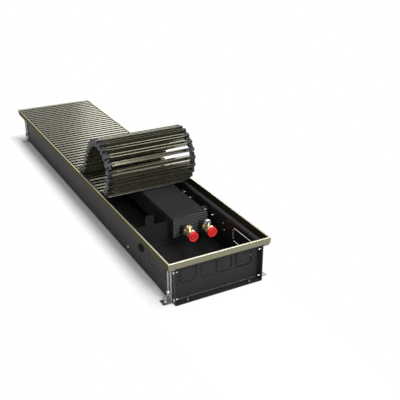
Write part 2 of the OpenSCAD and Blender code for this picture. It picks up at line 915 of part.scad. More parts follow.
module vent_knob() {
    stem_h = boss_h - valve_r;
    flutes = 18;
    color([0.80, 0.80, 0.80])
        translate([boss_x, tube_ys[1], tube_z + boss_h + seat_gap])
            difference() {
                union() {
                    cylinder(vent_h, r = vent_r);
                    cylinder(vent_flange_h, r = vent_flange_r);
                    translate([0, 0, -stem_h])
                        cylinder(stem_h + over, r = boss_r / 2 - pin_play);
                }
                for (i = [0 : flutes - 1])
                    rotate([0, 0, i * 360 / flutes])
                        translate([vent_r + 0.35, 0, vent_flange_h + 0.7])
                            cylinder(vent_h, r = 0.7, $fn = 16);
                translate([0, 0, vent_h - 1.2])
                    cube([2 * vent_r + over, 1.2, 3], center = true);
            }
}

/* Levelling feet */

// A foot that faces -Y, with its middle at X = 0 and its gusset towards -X
module foot_shape() {
    up_y = foot_y + foot_t / 2;
    gusset = 12;
    difference() {
        union() {
            along_x(foot_w)
                folded_section([
                    [-foot_y - foot_reach, foot_t / 2],
                    [-up_y, foot_t / 2],
                    [-up_y, foot_h]
                ], foot_t, fold_r);
            translate([-foot_w / 2 + foot_t / 2, 0, 0])
                along_x(foot_t)
                    polygon([
                        [-foot_y - foot_t / 2, foot_t / 2],
                        [-foot_y - foot_t - gusset, foot_t / 2],
                        [-foot_y - foot_t / 2, foot_t + gusset]
                    ]);
        }
        for (z = [bolt_z, bolt_z + foot_travel])
            translate([0, -up_y, 0])
                wall_hole(0, z, foot_slot_w / 2);
        translate([0, -up_y, bolt_z])
            block(foot_slot_w, 2 * foot_t, foot_travel);
        translate([0, -up_y, 0])
            wall_hole(0, 4 * foot_t, foot_t);
        translate([0, -foot_hole_y, 0])
            cylinder(4 * foot_t, r = foot_hole_r, center = true);
    }
}

module at_foot(e, s) {
    translate([e * foot_x, 0, 0])
        mirror([e > 0 ? 0 : 1, 0, 0])
            mirror([0, s > 0 ? 1 : 0, 0])
                children();
}

module foot(e, s) {
    color([0.62, 0.63, 0.64])
        at_foot(e, s)
            foot_shape();
}

module at_feet() {
    for (e = [-1, 1])
        for (s = [-1, 1])
            at_foot(e, s)
                children();
}

// Turns a fastener drawn along +Z so that it points to -Y at the clamp bolt
module at_bolt(y) {
    translate([0, -y, bolt_z])
        rotate([90, 0, 0])
            children();
}

washer_t = 1.2;
washer_y = foot_y + foot_t + foot_gap;
bolt_head_h = 4;
bolt_af_share = 1.75;
bolt_inner_l = 9;

module clamp_bolt() {
    shank_l = washer_y + washer_t - wall_in + bolt_inner_l;
    at_bolt(washer_y + washer_t) {
        cylinder(bolt_head_h, r = bolt_r * bolt_af_share, $fn = 6);
        translate([0, 0, -shank_l])
            cylinder(shank_l + over, r = bolt_r);
    }
}

module washer() {
    at_bolt(washer_y)
        difference() {
            cylinder(washer_t, r = 2 * bolt_r);
            translate([0, 0, -over])
                cylinder(washer_t + 2 * over, r = bolt_r + lie);
        }
}

module clamp_nut() {
    nut_h = 5;
    at_bolt(wall_in - nut_h)
        difference() {
            cylinder(nut_h, r = bolt_r + sheet_t);
            translate([0, 0, -over])
                cylinder(nut_h + 2 * over, r = bolt_r + tube_play);
        }
}

/* Small pieces */

module grommet() {
    flange_r = cable_entry_d / 2 + 2.5;
    flange_t = 2;
    neck_r = cable_entry_d / 2 - lie;
    bore_r = neck_r - 2;
    lip = sheet_t / 2 + lie;
    color([0.05, 0.05, 0.05])
        translate([cable_x(), -(body_w / 2 - sheet_t / 2), cable_entry_z])
            rotate([90, 0, 0])
                rotate_extrude()
                    polygon([
                        [0, lip], [bore_r, lip], [bore_r, -lip - flange_t],
                        [neck_r, -lip - flange_t], [flange_r, -lip - flange_t / 2], [flange_r, -lip],
                        [neck_r, -lip], [neck_r, lip],
                        [flange_r, lip], [flange_r, lip + flange_t],
                        [neck_r, lip + 1.5 * flange_t], [bore_r, grommet_nose - flange_t / 2],
                        [bore_r * 0.75, grommet_nose], [0, grommet_nose]
                    ]);
}

// A pan-head screw that enters along +Z, its head below Z = 0
module screw() {
    tip = 2 * screw_r;
    translate([0, 0, -screw_head_h])
        cylinder(screw_head_h / 2, r1 = screw_head_r * 0.7, r2 = screw_head_r);
    translate([0, 0, -screw_head_h / 2])
        cylinder(screw_head_h / 2, r = screw_head_r);
    cylinder(screw_l - tip, r = screw_r);
    translate([0, 0, screw_l - tip])
        cylinder(tip, r1 = screw_r, r2 = screw_r / 3);
}

// A screw driven inwards through the long wall on side s
module wall_screw(x, s, z) {
    translate([x, s * (body_w / 2 + lie), z])
        rotate([s * 90, 0, 0])
            screw();
}

module end_wall_screws() {
    color([0.75, 0.75, 0.76])
        for (e = [-1, 1])
            for (s = [-1, 1]) {
                for (z = flange_screw_zs)
                    wall_screw(e * flange_screw_x, s, z);
                translate([e * flange_screw_x, s * floor_screw_y, screw_head_h])
                    floor_stud();
            }
}

// A countersunk screw from below whose head stays inside the trough's floor
module floor_stud() {
    translate([0, 0, -screw_head_h])
        cylinder(screw_l * 0.75, r = screw_r);
}

module support_screws() {
    color([0.75, 0.75, 0.76])
        for (p = wall_screws())
            wall_screw(p[0], p[1], p[2]);
}

/* The pieces */

module end_wall_near() {
    end_wall();
}

module end_wall_far() {
    mirror([1, 0, 0])
        end_wall();
}

module rim_left() {
    mirror([0, 1, 0])
        rim(rim_l, rim_w / 2);
}

module rim_right() {
    rim(rim_l, rim_w / 2);
}

module rim_near() {
    rotate([0, 0, -90])
        rim(rim_w, rim_l / 2);
}

module rim_far() {
    rotate([0, 0, 90])
        rim(rim_w, rim_l / 2);
}

module exchanger_end_plate_near() {
    translate([exch_x, 0, 0])
        end_plate();
}

module exchanger_end_plate_far() {
    translate([exch_far_x, 0, 0])
        mirror([1, 0, 0])
            end_plate();
}

module foot_clamp_bolts() {
    color([0.70, 0.70, 0.71])
        at_feet()
            clamp_bolt();
}

module foot_washers() {
    color([0.72, 0.72, 0.73])
        at_feet()
            washer();
}

module foot_nuts() {
    color([0.68, 0.68, 0.69])
        at_feet()
            clamp_nut();
}

trough();
end_wall_near();
end_wall_far();
rim_left();
rim_right();
rim_near();
rim_far();
rubber_strip(-1);  // rubber_strip_left
rubber_strip(1);  // rubber_strip_right
exchanger_fins();
exchanger_tubes();
exchanger_end_plate_near();
exchanger_end_plate_far();
support_plate(support_xs[0], true);  // support_plate_near
support_plate(support_xs[1]);  // support_plate_middle
support_plate(support_xs[2]);  // support_plate_far
wall_clips();  // exchanger_wall_clips
valve_body(tube_ys[0]);  // valve_body_flow
valve_body(tube_ys[1]);  // valve_body_return
union_nut(tube_ys[0]);  // union_nut_flow
union_nut(tube_ys[1]);  // union_nut_return
protective_cap(tube_ys[0]);  // protective_cap_flow
protective_cap(tube_ys[1]);  // protective_cap_return
dust_cap();  // valve_dust_cap
vent_knob();  // air_vent_knob
foot(1, -1);  // foot_near_left
foot(1, 1);  // foot_near_right
foot(-1, -1);  // foot_far_left
foot(-1, 1);  // foot_far_right
foot_clamp_bolts();
foot_washers();
foot_nuts();
grommet();  // cable_grommet
end_wall_screws();
support_screws();
laid_slats();  // grille_laid_slats
laid_links();  // grille_laid_links
for (k = [1 : curl_count])
    curled_slat(k);
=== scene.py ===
# %% [markdown]
# # A trench convector with its grille rolled back
#
# The object is a floor heater: a long folded sheet-metal trough with a finned
# heat exchanger in it, a bronze frame on top, and a slatted grille that rolls
# up like a shutter. The solids come ready made. This script gives every piece
# its edges, its fine shape and its finish, then lights and frames it.

# %% Load the solids
import json
import math

import bmesh
import bpy
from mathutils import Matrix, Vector


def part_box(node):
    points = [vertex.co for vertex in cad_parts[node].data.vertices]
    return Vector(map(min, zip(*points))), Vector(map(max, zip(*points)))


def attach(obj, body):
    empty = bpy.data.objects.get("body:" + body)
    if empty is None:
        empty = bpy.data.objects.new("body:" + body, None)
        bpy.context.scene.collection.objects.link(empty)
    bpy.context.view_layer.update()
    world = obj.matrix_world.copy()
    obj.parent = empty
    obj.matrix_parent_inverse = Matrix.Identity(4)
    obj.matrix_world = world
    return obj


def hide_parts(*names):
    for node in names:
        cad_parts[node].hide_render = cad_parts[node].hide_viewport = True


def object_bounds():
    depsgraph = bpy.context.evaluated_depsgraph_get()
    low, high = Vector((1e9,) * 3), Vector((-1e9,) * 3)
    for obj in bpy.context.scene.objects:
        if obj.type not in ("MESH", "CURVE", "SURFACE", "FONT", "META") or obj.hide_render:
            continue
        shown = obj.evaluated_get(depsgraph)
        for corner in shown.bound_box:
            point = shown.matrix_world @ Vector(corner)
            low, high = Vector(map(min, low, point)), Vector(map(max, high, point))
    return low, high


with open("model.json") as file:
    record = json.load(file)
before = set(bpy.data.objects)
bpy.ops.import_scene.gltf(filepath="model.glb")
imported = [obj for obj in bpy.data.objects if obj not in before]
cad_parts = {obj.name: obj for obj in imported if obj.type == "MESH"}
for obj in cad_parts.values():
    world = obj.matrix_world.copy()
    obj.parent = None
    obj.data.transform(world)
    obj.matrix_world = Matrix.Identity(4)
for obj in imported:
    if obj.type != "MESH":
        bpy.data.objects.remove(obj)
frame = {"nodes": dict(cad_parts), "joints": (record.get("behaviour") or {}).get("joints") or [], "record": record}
cad_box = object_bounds()
solids = frame["nodes"]
record = frame["record"]
body_of = {n: b for b, names in record["behaviour"]["bodies"].items() for n in names}
slot_of = {row["node"]: row["material_slot"] for row in record["subparts"]}

# %% [markdown]
# ## Sizes read from the solids
#
# Nothing is measured twice. The boxes of a few solids give the sizes that the
# pieces below are built on, so the looks follow the model if it changes. Small
# sizes that no box can give, such as the distance from one slat to the next,
# are written down where they are first needed.

# %% Sizes of the grille
MM = 0.001
pitch = 20 * MM
slat_width = 10 * MM
laid_low, laid_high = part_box("grille_laid_slats")
slat_depth = laid_high.z - laid_low.z
hinge_z = (laid_high.z + laid_low.z) / 2
laid_count = round((laid_high.x - laid_low.x - slat_width) / pitch) + 1
first_slat_x = laid_low.x + slat_width / 2
hinges = {j["child"]: j for j in frame["joints"] if j["name"].startswith("fold_")}
print("laid slats:", laid_count, "rolled-back slats:", len(hinges))

# %% [markdown]
# ## Small helpers
#
# A piece is a mesh that rides on a body and may stand for solids. These helpers
# keep those calls in one place.


# %% Making a piece
def new_object(name, mesh):
    obj = bpy.data.objects.new(name, mesh)
    bpy.context.scene.collection.objects.link(obj)
    return obj


def applied(obj):
    """Turns an object's modifiers into a plain mesh."""
    graph = bpy.context.evaluated_depsgraph_get()
    mesh = bpy.data.meshes.new_from_object(obj.evaluated_get(graph))
    obj.modifiers.clear()
    obj.data = mesh
    return obj


def settle(obj, material, body, slot, *nodes):
    """Paints a finished piece and hands it to the body that carries it."""
    if material:
        obj.data.materials.clear()
        obj.data.materials.append(material)
    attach(obj, body)
    if nodes:
        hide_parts(*nodes)
    print(f"{obj.name}: {len(obj.data.polygons)} faces on {body}")
    return obj


# %% [markdown]
# ## Soft edges
#
# Real sheet metal and mouldings never end in a perfectly sharp corner: a thin
# rounded edge catches the light and tells the eye how big a piece is. Each
# solid is copied, and its loose triangles are welded and joined back into flat
# faces. Without that, a bevel would cut along every triangle.

# %% Copies of solids with flat faces
MERGE = 1e-6
FLAT = math.radians(0.8)


def welded(*nodes):
    """Copies of some solids in one bmesh, with their triangles joined up."""
    bm = bmesh.new()
    for node in nodes:
        bm.from_mesh(solids[node].data)
    bmesh.ops.remove_doubles(bm, verts=bm.verts, dist=MERGE)
    return bm


def flatten(bm):
    """Turns the triangles of each flat face into that one face."""
    bmesh.ops.dissolve_limit(
        bm,
        angle_limit=FLAT,
        use_dissolve_boundaries=False,
        verts=bm.verts,
        edges=bm.edges,
    )


def to_mesh(bm, name):
    mesh = bpy.data.meshes.new(name)
    bm.to_mesh(mesh)
    bm.free()
    return mesh


# %% [markdown]
# A small bevel then rounds the edges that are sharp. Weighted normals keep the
# flat faces flat to the eye, so only the rounded strip shades smoothly.

# %% Rounding the sharp edges
SHARP = math.radians(38)


def soften(obj, width, segments=2):
    """Rounds the sharp edges of an object and shades it smoothly."""
    if width:
        bevel = obj.modifiers.new("Soft edges", "BEVEL")
        bevel.width = width
        bevel.segments = segments
        bevel.limit_method = "ANGLE"
        bevel.angle_limit = SHARP
        applied(obj)
    obj.data.shade_smooth()
    obj.data.set_sharp_from_angle(angle=SHARP)
    weighted = obj.modifiers.new("Even shading", "WEIGHTED_NORMAL")
    weighted.keep_sharp = True
    return applied(obj)


def soft_piece(name, material, width, *nodes):
    """A softened copy that stands for some solids of one body."""
    bm = welded(*nodes)
    flatten(bm)
    obj = soften(new_object(name, to_mesh(bm, name)), width)
    return settle(obj, material, body_of[nodes[0]], slot_of[nodes[0]], *nodes)


# %% [markdown]
# ## Building node trees
#
# The same helper adds a node to a shader or to a geometry tree. An input is
# given as a plain value or as the socket that feeds it.


# %% Adding a node
def put(tree, kind, inputs=None, **properties):
    """Adds a node, sets its properties, and fills or links its inputs."""
    node = tree.nodes.new(kind)
    for key, value in properties.items():
        setattr(node, key, value)
    for key, value in (inputs or {}).items():
        socket = node.inputs[key]
        if isinstance(value, bpy.types.NodeSocket):
            tree.links.new(value, socket)
        else:
            socket.default_value = value
    return node


SOCKETS = {int: "NodeSocketInt", float: "NodeSocketFloat", tuple: "NodeSocketVector"}


def add_inputs(tree, sizes):
    """Gives a tree one named input for each size."""
    for label, value in sizes.items():
        socket = tree.interface.new_socket(
            label, in_out="INPUT", socket_type=SOCKETS[type(value)]
        )
        socket.default_value = value


def fresh_tree(owner):
    """Turns the nodes of a material or a world on, and empties its tree."""
    owner.use_nodes = True
    owner.node_tree.nodes.clear()
    return owner.node_tree


# %% [markdown]
# A few steps come back in nearly every tree: a sum, a noise, a change of range
# and a mix of two colours. Each gets a short name and gives back the socket
# that holds its result, so that one line can feed the next.

# %% Steps that come back
COLOUR_A, COLOUR_B, COLOUR_OUT = 6, 7, 2


def calc(tree, operation, first, second=None):
    """One step of arithmetic with one or two numbers."""
    numbers = {0: first} if second is None else {0: first, 1: second}
    return put(tree, "ShaderNodeMath", numbers, operation=operation).outputs[0]


def noise(tree, place, scale, detail):
    """A cloudy value from 0 to 1 that changes over the surface."""
    inputs = {"Vector": place, "Scale": scale, "Detail": detail}
    return put(tree, "ShaderNodeTexNoise", inputs).outputs["Fac"]


def ramp(tree, value, to, start=(0.0, 1.0)):
    """Moves a value from one range to another, and stops at both ends."""
    inputs = dict(zip(("From Min", "From Max", "To Min", "To Max"), (*start, *to)))
    return put(tree, "ShaderNodeMapRange", {"Value": value, **inputs}).outputs["Result"]


def mixed(tree, share, first, second):
    """A colour between two others."""
    inputs = {"Factor": share, COLOUR_A: first, COLOUR_B: second}
    return put(tree, "ShaderNodeMix", inputs, data_type="RGBA").outputs[COLOUR_OUT]


# %% [markdown]
# ## Finishes: the shared effects
#
# Three effects come back in many finishes. Each is one group with named
# inputs, built once, so that every material places it at its own scale. It
# gives a mask, which moves colour and roughness, and a height for the bump.


# %% A helper for effects
def effect_group(name, build, **sizes):
    tree = bpy.data.node_groups.new(name, "ShaderNodeTree")
    tree.interface.new_socket("Place", in_out="INPUT", socket_type="NodeSocketVector")
    add_inputs(tree, sizes)
    for label in ("Mask", "Height"):
        tree.interface.new_socket(label, in_out="OUTPUT", socket_type="NodeSocketFloat")
    given = put(tree, "NodeGroupInput").outputs
    mask, height = build(tree, given)
    put(tree, "NodeGroupOutput", {"Mask": mask, "Height": height})
    print("effect:", name, "with", len(tree.nodes), "nodes")
    return tree


# %% [markdown]
# Powder coat and moulded plastic have a fine pebbled skin, like the peel of an
# orange. A second, much slower noise keeps a large wall from being one tone.


# %% Pebbled skin
def pebbles(tree, given):
    """A fine orange-peel skin, with a slow change of tone over it."""
    fine = noise(tree, given["Place"], given["Fineness"], detail=3.0)
    slow = noise(tree, given["Place"], given["Cloud scale"], detail=2.0)
    return slow, fine


PEBBLED = effect_group(
    "Pebbled skin", pebbles, **{"Fineness": 900.0, "Cloud scale": 9.0}
)

# %% [markdown]
# Extruded aluminium and turned brass keep faint lines from the tool. A noise
# becomes lines when its place is squeezed along one direction, which is what
# the Stretch input does.


# %% Drawn lines
def drawn_lines(tree, given):
    """Fine lines, stretched by the Stretch input along the drawing direction."""
    long = put(
        tree,
        "ShaderNodeMapping",
        {"Vector": given["Place"], "Scale": given["Stretch"]},
    )
    lines = noise(tree, long.outputs["Vector"], given["Fineness"], detail=4.0)
    slow = noise(tree, given["Place"], given["Cloud scale"], detail=2.0)
    both = calc(tree, "MULTIPLY", lines, slow)
    return calc(tree, "MULTIPLY", both, 2.0), lines


DRAWN = effect_group(
    "Drawn lines",
    drawn_lines,
    **{"Stretch": (1.0, 1.0, 1.0), "Fineness": 900.0, "Cloud scale": 7.0},
)

# %% [markdown]
# A zinc coat freezes into flat grains. Voronoi cells have the same look, and
# the random colour of a cell, turned to grey, is the brightness of its grain.


# %% Zinc crystals
def crystals(tree, given):
    """The flat grains of a zinc coat, each with its own brightness."""
    cells = put(
        tree,
        "ShaderNodeTexVoronoi",
        {"Vector": given["Place"], "Scale": given["Fineness"]},
    )
    grey = put(tree, "ShaderNodeRGBToBW", {"Color": cells.outputs["Color"]})
    fine = noise(tree, given["Place"], given["Cloud scale"], detail=3.0)
    return grey.outputs["Val"], fine


SPANGLED = effect_group(
    "Zinc crystals", crystals, **{"Fineness": 260.0, "Cloud scale": 900.0}
)

# %% [markdown]
# ## Finishes: one helper for all
#
# Every finish is a Principled shader. The effect's mask moves the colour and
# the roughness between two near values, and its height gives a small bump.
# What is the same all over, such as how metallic the surface is, is set on the
# shader itself. On some pieces, faces that carry a value get a second colour.
# That colour is painted shade, as round the slits of a knock-out, or a painted
# highlight, as on the lip of a rim.

# %% A helper for finishes
BUMP_DEPTH = 0.1 * MM
WHITE = (1.0, 1.0, 1.0)


def finish(
    name,
    effect,
    dark,
    light,
    rough,
    bump,
    metallic=0.0,
    coat=0.0,
    shine=0.5,
    edge_tint=WHITE,
    painted_light=None,
    **sizes,
):
    """A finish between two colours and two roughnesses, led by an effect."""
    material = bpy.data.materials.new(name)
    tree = fresh_tree(material)
    place = put(tree, "ShaderNodeTexCoord").outputs["Object"]
    look = put(tree, "ShaderNodeGroup", {"Place": place}, node_tree=effect)
    for label, value in sizes.items():
        look.inputs[label.capitalize()].default_value = value
    mask, height = look.outputs["Mask"], look.outputs["Height"]
    colour = mixed(tree, mask, (*dark, 1.0), (*light, 1.0))
    # Painted shade or a painted highlight, on the faces that carry the value.
    if painted_light:
        value = put(tree, "ShaderNodeAttribute", attribute_name="painted_light")
        colour = mixed(tree, value.outputs["Fac"], colour, (*painted_light, 1.0))
    relief = put(
        tree,
        "ShaderNodeBump",
        {"Height": height, "Strength": bump, "Distance": BUMP_DEPTH},
    )
    shader = put(
        tree,
        "ShaderNodeBsdfPrincipled",
        {
            "Base Color": colour,
            "Roughness": ramp(tree, mask, rough),
            "Normal": relief.outputs["Normal"],
            "Metallic": metallic,
            "Coat Weight": coat,
            "Specular IOR Level": shine,
            "Specular Tint": (*edge_tint, 1.0),
        },
    )
    put(tree, "ShaderNodeOutputMaterial", {"Surface": shader.outputs["BSDF"]})
    print("finish:", name)
    return material


# %% [markdown]
# ## Black powder coat
#
# The trough and all that is folded from sheet is coated black. The end walls
# get a paler copy of the coat with less gloss, which is painted light. A third,
# much paler finish on the fold at the foot of each end wall is a painted
# highlight along that bend.

# %% Black coats
powder_coat = finish(
    "Black powder coat",
    PEBBLED,
    (0.0105, 0.0105, 0.0107),
    (0.0155, 0.0155, 0.0158),
    (0.42, 0.54),
    0.5,
    shine=0.2,
)
# A paler copy of the coat for the end walls: painted light.
end_coat = finish(
    "Black powder coat, end walls",
    PEBBLED,
    (0.020, 0.020, 0.0203),
    (0.025, 0.025, 0.0254),
    (0.50, 0.62),
    0.5,
    shine=0.05,
    # Painted shade round the slits of the knock-outs.
    painted_light=(0.002, 0.002, 0.002),
)
# Painted highlight for the fold at the foot of the end walls.
fold_highlight_coat = finish(
    "Black powder coat, painted fold highlight",
    PEBBLED,
    (0.085, 0.085, 0.086),
    (0.130, 0.130, 0.132),
    (0.40, 0.52),
    0.4,
)

# %% [markdown]
# ## Trough and end walls
#
# The trough is one folded sheet. Its slits, ledges and folds are all in the
# solid, so the softened copy keeps them and only rounds the cut edges. The end
# walls have knock-outs: plates that are nearly cut free, to be pushed out for
# a pipe. The faces round each slit get a near-black colour, which is painted
# shade, so that the slits read dark.

# %% Trough
CUT_EDGE = 0.18 * MM
soft_piece("trough_sheet", powder_coat, CUT_EDGE, "trough")

# %% Rules for the end walls
WALL_BORDER = 8 * MM
LOWEST_SLIT = 25 * MM
FOLD_REACH = 6 * MM
FLAT_OF_WALL = 0.95
LEANING = 0.2


def paint_light(mesh, rule):
    """Gives the faces that a rule picks the value that leads to painted shade or a painted highlight."""
    values = mesh.attributes.new("painted_light", "FLOAT", "FACE").data
    for face, value in zip(mesh.polygons, values):
        value.value = float(rule(face))


def slit_shade_face(face, low, high):
    """True for the edge faces round a knock-out, which get painted shade, not for the wall's own."""
    middle = face.center
    away = min(middle.y - low.y, high.y - middle.y, high.z - middle.z)
    is_edge = abs(face.normal.x) < FLAT_OF_WALL
    return is_edge and away > WALL_BORDER and middle.z > low.z + LOWEST_SLIT


def in_fold(face, low, high):
    """True for the hollow side of the fold where the wall turns out to its foot."""
    near_foot = face.center.z < low.z + FOLD_REACH
    nearest_side = min(abs(face.center.x - low.x), abs(face.center.x - high.x))
    leans = min(face.normal.z, abs(face.normal.x)) > LEANING
    return near_foot and nearest_side < FOLD_REACH and leans


# %% End walls
# A wider rounding on the end walls, which widens the painted shade round each slit.
END_WALL_EDGE = 0.45 * MM
for place in ("near", "far"):
    node = f"end_wall_{place}"
    low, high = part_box(node)
    wall = soft_piece(f"end_wall_sheet_{place}", end_coat, END_WALL_EDGE, node)
    # Painted shade: the faces round each slit get a near-black colour.
    paint_light(wall.data, lambda face: slit_shade_face(face, low, high))
    # The faces in the fold at the foot get a painted highlight.
    wall.data.materials.append(fold_highlight_coat)
    folds = [face for face in wall.data.polygons if in_fold(face, low, high)]
    for face in folds:
        face.material_index = 1
    print("faces in the fold:", len(folds))

# %% [markdown]
# ## Supports, clips and rubber strips
#
# Three plates stand across the trough and carry the exchanger, and clips hold
# it to the long wall. Two rubber strips lie on the ledges, so that the grille
# doesn't rattle. Rubber is rough and a little greyer than the coat.

# %% Supports and strips
for place in ("near", "middle", "far"):
    node = f"support_plate_{place}"
    soft_piece(f"support_sheet_{place}", powder_coat, CUT_EDGE, node)
soft_piece("wall_clips_sheet", powder_coat, CUT_EDGE, "exchanger_wall_clips")
strip_rubber = finish(
    "Grey-black rubber",
    PEBBLED,
    (0.030, 0.030, 0.030),
    (0.042, 0.042, 0.042),
    (0.45, 0.6),
    0.3,
)
for side in ("left", "right"):
    soft_piece(f"strip_{side}", strip_rubber, CUT_EDGE, f"rubber_strip_{side}")

# %% [markdown]
# ## Frame rims
#
# Four anodised profiles meet in mitres. The drawing lines run along each one,
# so the long and the short rims need the pattern turned by a quarter: a
# stretch far below 1 on one axis draws the lines out along it. The long rims get
# a much darker copy of the bronze, which is painted shade. The narrow lip on top
# gets a pale colour, which is a painted highlight.

# %% Bronze of the rims
ALONG = 0.012
# The pale lip colour is a painted highlight.
LIP_HIGHLIGHT_PAINT = (0.62, 0.60, 0.48)
# A much darker copy of the bronze for the long rims: painted shade.
bronze_x_shaded = finish(
    "Bronze anodised, drawn along X, painted shade",
    DRAWN,
    (0.060, 0.057, 0.040),
    (0.080, 0.076, 0.054),
    (0.34, 0.44),
    0.25,
    metallic=0.85,
    shine=0.2,
    edge_tint=(0.52, 0.49, 0.36),
    painted_light=LIP_HIGHLIGHT_PAINT,
    stretch=(ALONG, 1.0, 1.0),
)
bronze_y = finish(
    "Bronze anodised, drawn along Y",
    DRAWN,
    (0.162, 0.156, 0.104),
    (0.192, 0.184, 0.123),
    (0.28, 0.38),
    0.25,
    metallic=0.7,
    painted_light=LIP_HIGHLIGHT_PAINT,
    stretch=(1.0, ALONG, 1.0),
)

# %% Rims
LIP_HEIGHT = 1 * MM
UPWARD = 0.5
rim_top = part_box("rim_left")[1].z


def on_lip(face):
    """True for what faces up, close under the top of the frame."""
    return face.normal.z > UPWARD and face.center.z > rim_top - LIP_HEIGHT


rims = {"left": bronze_x_shaded, "right": bronze_x_shaded, "near": bronze_y, "far": bronze_y}
for side, bronze in rims.items():
    rim = soft_piece(f"rim_profile_{side}", bronze, CUT_EDGE, f"rim_{side}")
    paint_light(rim.data, on_lip)

# %% [markdown]
# ## Grille
#
# Every slat is the same extruded bar with a hinge link under each end. One bar
# and one pair of links are made once. A row tree repeats them along the laid
# part, and a hinge tree turns single copies about their hinges for the part
# that is rolled back, because there every slat moves on a body of its own.


# %% What every geometry tree shares
def geometry_tree(name, build, **sizes):
    """A tree with named sizes that ends in real geometry with its finish."""
    tree = bpy.data.node_groups.new(name, "GeometryNodeTree")
    sockets = tree.interface
    sockets.new_socket("Shape", in_out="INPUT", socket_type="NodeSocketGeometry")
    add_inputs(tree, sizes)
    sockets.new_socket("Finish", in_out="INPUT", socket_type="NodeSocketMaterial")
    sockets.new_socket("Shape", in_out="OUTPUT", socket_type="NodeSocketGeometry")
    given = put(tree, "NodeGroupInput").outputs
    copies = build(tree, given)
    real = put(tree, "GeometryNodeRealizeInstances", {"Geometry": copies})
    painted = put(
        tree,
        "GeometryNodeSetMaterial",
        {"Geometry": real.outputs["Geometry"], "Material": given["Finish"]},
    )
    put(tree, "NodeGroupOutput", {"Shape": painted.outputs["Geometry"]})
    print("tree:", name, "with", len(tree.nodes), "nodes")
    return tree


def grown(name, tree, seed, material, **sizes):
    """Runs a tree on a seed mesh and returns the result as a plain object."""
    obj = new_object(name, seed)
    modifier = obj.modifiers.new(tree.name, "NODES")
    modifier.node_group = tree
    sizes["Finish"] = material
    for item in tree.interface.items_tree:
        if item.in_out == "INPUT" and item.name in sizes:
            modifier[item.identifier] = sizes[item.name]
    return applied(obj)


# %% The row tree
def in_a_row(tree, given, shape):
    """Count copies of a shape, the first at Start and each a Step further."""
    line = put(
        tree,
        "GeometryNodeMeshLine",
        {
            "Count": given["Count"],
            "Start Location": given["Start"],
            "Offset": given["Step"],
        },
        mode="OFFSET",
    )
    copies = put(
        tree,
        "GeometryNodeInstanceOnPoints",
        {"Points": line.outputs["Mesh"], "Instance": shape},
    )
    return copies.outputs["Instances"]


def build_row(tree, given):
    return in_a_row(tree, given, given["Shape"])


ORIGIN = (0.0, 0.0, 0.0)
row_tree = geometry_tree(
    "Row of copies", build_row, Count=2, Start=ORIGIN, Step=(pitch, 0.0, 0.0)
)


# %% The hinge tree
def build_hinge(tree, given):
    """Moves the shape out along its arm, turns it and takes it to its hinge."""
    out = put(
        tree,
        "GeometryNodeTransform",
        {"Geometry": given["Shape"], "Translation": given["Arm"]},
    )
    turned = put(
        tree,
        "GeometryNodeTransform",
        {
            "Geometry": out.outputs["Geometry"],
            "Translation": given["Hinge"],
            "Rotation": given["Turn"],
        },
    )
    return turned.outputs["Geometry"]


hinge_tree = geometry_tree(
    "Copy on a hinge", build_hinge, Arm=(pitch / 2, 0.0, 0.0), Hinge=ORIGIN, Turn=ORIGIN
)

# %% [markdown]
# The seeds are cut out of the laid part: the solid of one middle slat, and its
# two links, moved so that the hinge line lies at the origin. A solid that
# holds many slats falls apart into islands, and the one near the wanted place
# is kept.


# %% Cutting a seed out of a solid
def islands(bm):
    """The loose parts of a mesh, each as a list of its points."""
    seen = set()
    for first in bm.verts:
        if first in seen:
            continue
        seen.add(first)
        island, queue = [], [first]
        while queue:
            vert = queue.pop()
            island.append(vert)
            for edge in vert.link_edges:
                other = edge.other_vert(vert)
                if other not in seen:
                    seen.add(other)
                    queue.append(other)
        yield island


def seed_mesh(name, node, reach, width, slat_x):
    """The islands of a solid within reach of one slat, moved to the origin."""
    bm = welded(node)
    unwanted = []
    for island in islands(bm):
        xs = [vert.co.x for vert in island]
        if abs((min(xs) + max(xs)) / 2 - slat_x) > reach:
            unwanted += island
    bmesh.ops.delete(bm, geom=unwanted, context="VERTS")
    flatten(bm)
    bmesh.ops.translate(bm, vec=(-slat_x, 0, -hinge_z), verts=bm.verts)
    helper = soften(new_object(name, to_mesh(bm, name)), width)
    mesh = helper.data
    bpy.data.objects.remove(helper)
    print(f"{name}: {len(mesh.polygons)} faces")
    return mesh


# %% [markdown]
# A slat is an upturned U with a bead along each leg. Between two slats hardly
# any light gets in, so their sides look almost black from above while the tops
# shine. That shade is painted: the marks darken each part of a slat below the
# top by its own share. The rolled-back slats stand free, and the light reaches
# their sides, so their copy has less painted shade there.

# %% Seed for the slats
ONE_SLAT = pitch / 4
TOP_SKIN = 0.5 * MM
LEG = 1 * MM
BEAD_HEIGHT = 2.4 * MM
SLAT_EDGE = 0.25 * MM
BEAD_SHADE, INSIDE_SHADE, SIDE_SHADE, FREE_SIDE_SHADE = 0.35, 0.4, 0.9, 0.3
middle_slat_x = first_slat_x + laid_count // 2 * pitch


def slat_painted_shade(face, side_tone):
    """0 on the top, and more painted shade for the beads, the inside and the two sides."""
    if face.center.z > slat_depth / 2 - TOP_SKIN:
        return 0
    if face.center.z < BEAD_HEIGHT - slat_depth / 2:
        return BEAD_SHADE
    on_side = abs(face.center.x) >= slat_width / 2 - LEG
    return side_tone if on_side else INSIDE_SHADE


slat_node, link_node = "grille_laid_slats", "grille_laid_links"
slat_seed = seed_mesh("slat_seed", slat_node, ONE_SLAT, SLAT_EDGE, middle_slat_x)
free_slat_seed = slat_seed.copy()
paint_light(slat_seed, lambda face: slat_painted_shade(face, SIDE_SHADE))
paint_light(free_slat_seed, lambda face: slat_painted_shade(face, FREE_SIDE_SHADE))

# %% [markdown]
# The links at the far end are shorter, since nothing follows them, so they are
# a seed of their own. Their middle lies further from the middle of their slat,
# so the reach is longer too.

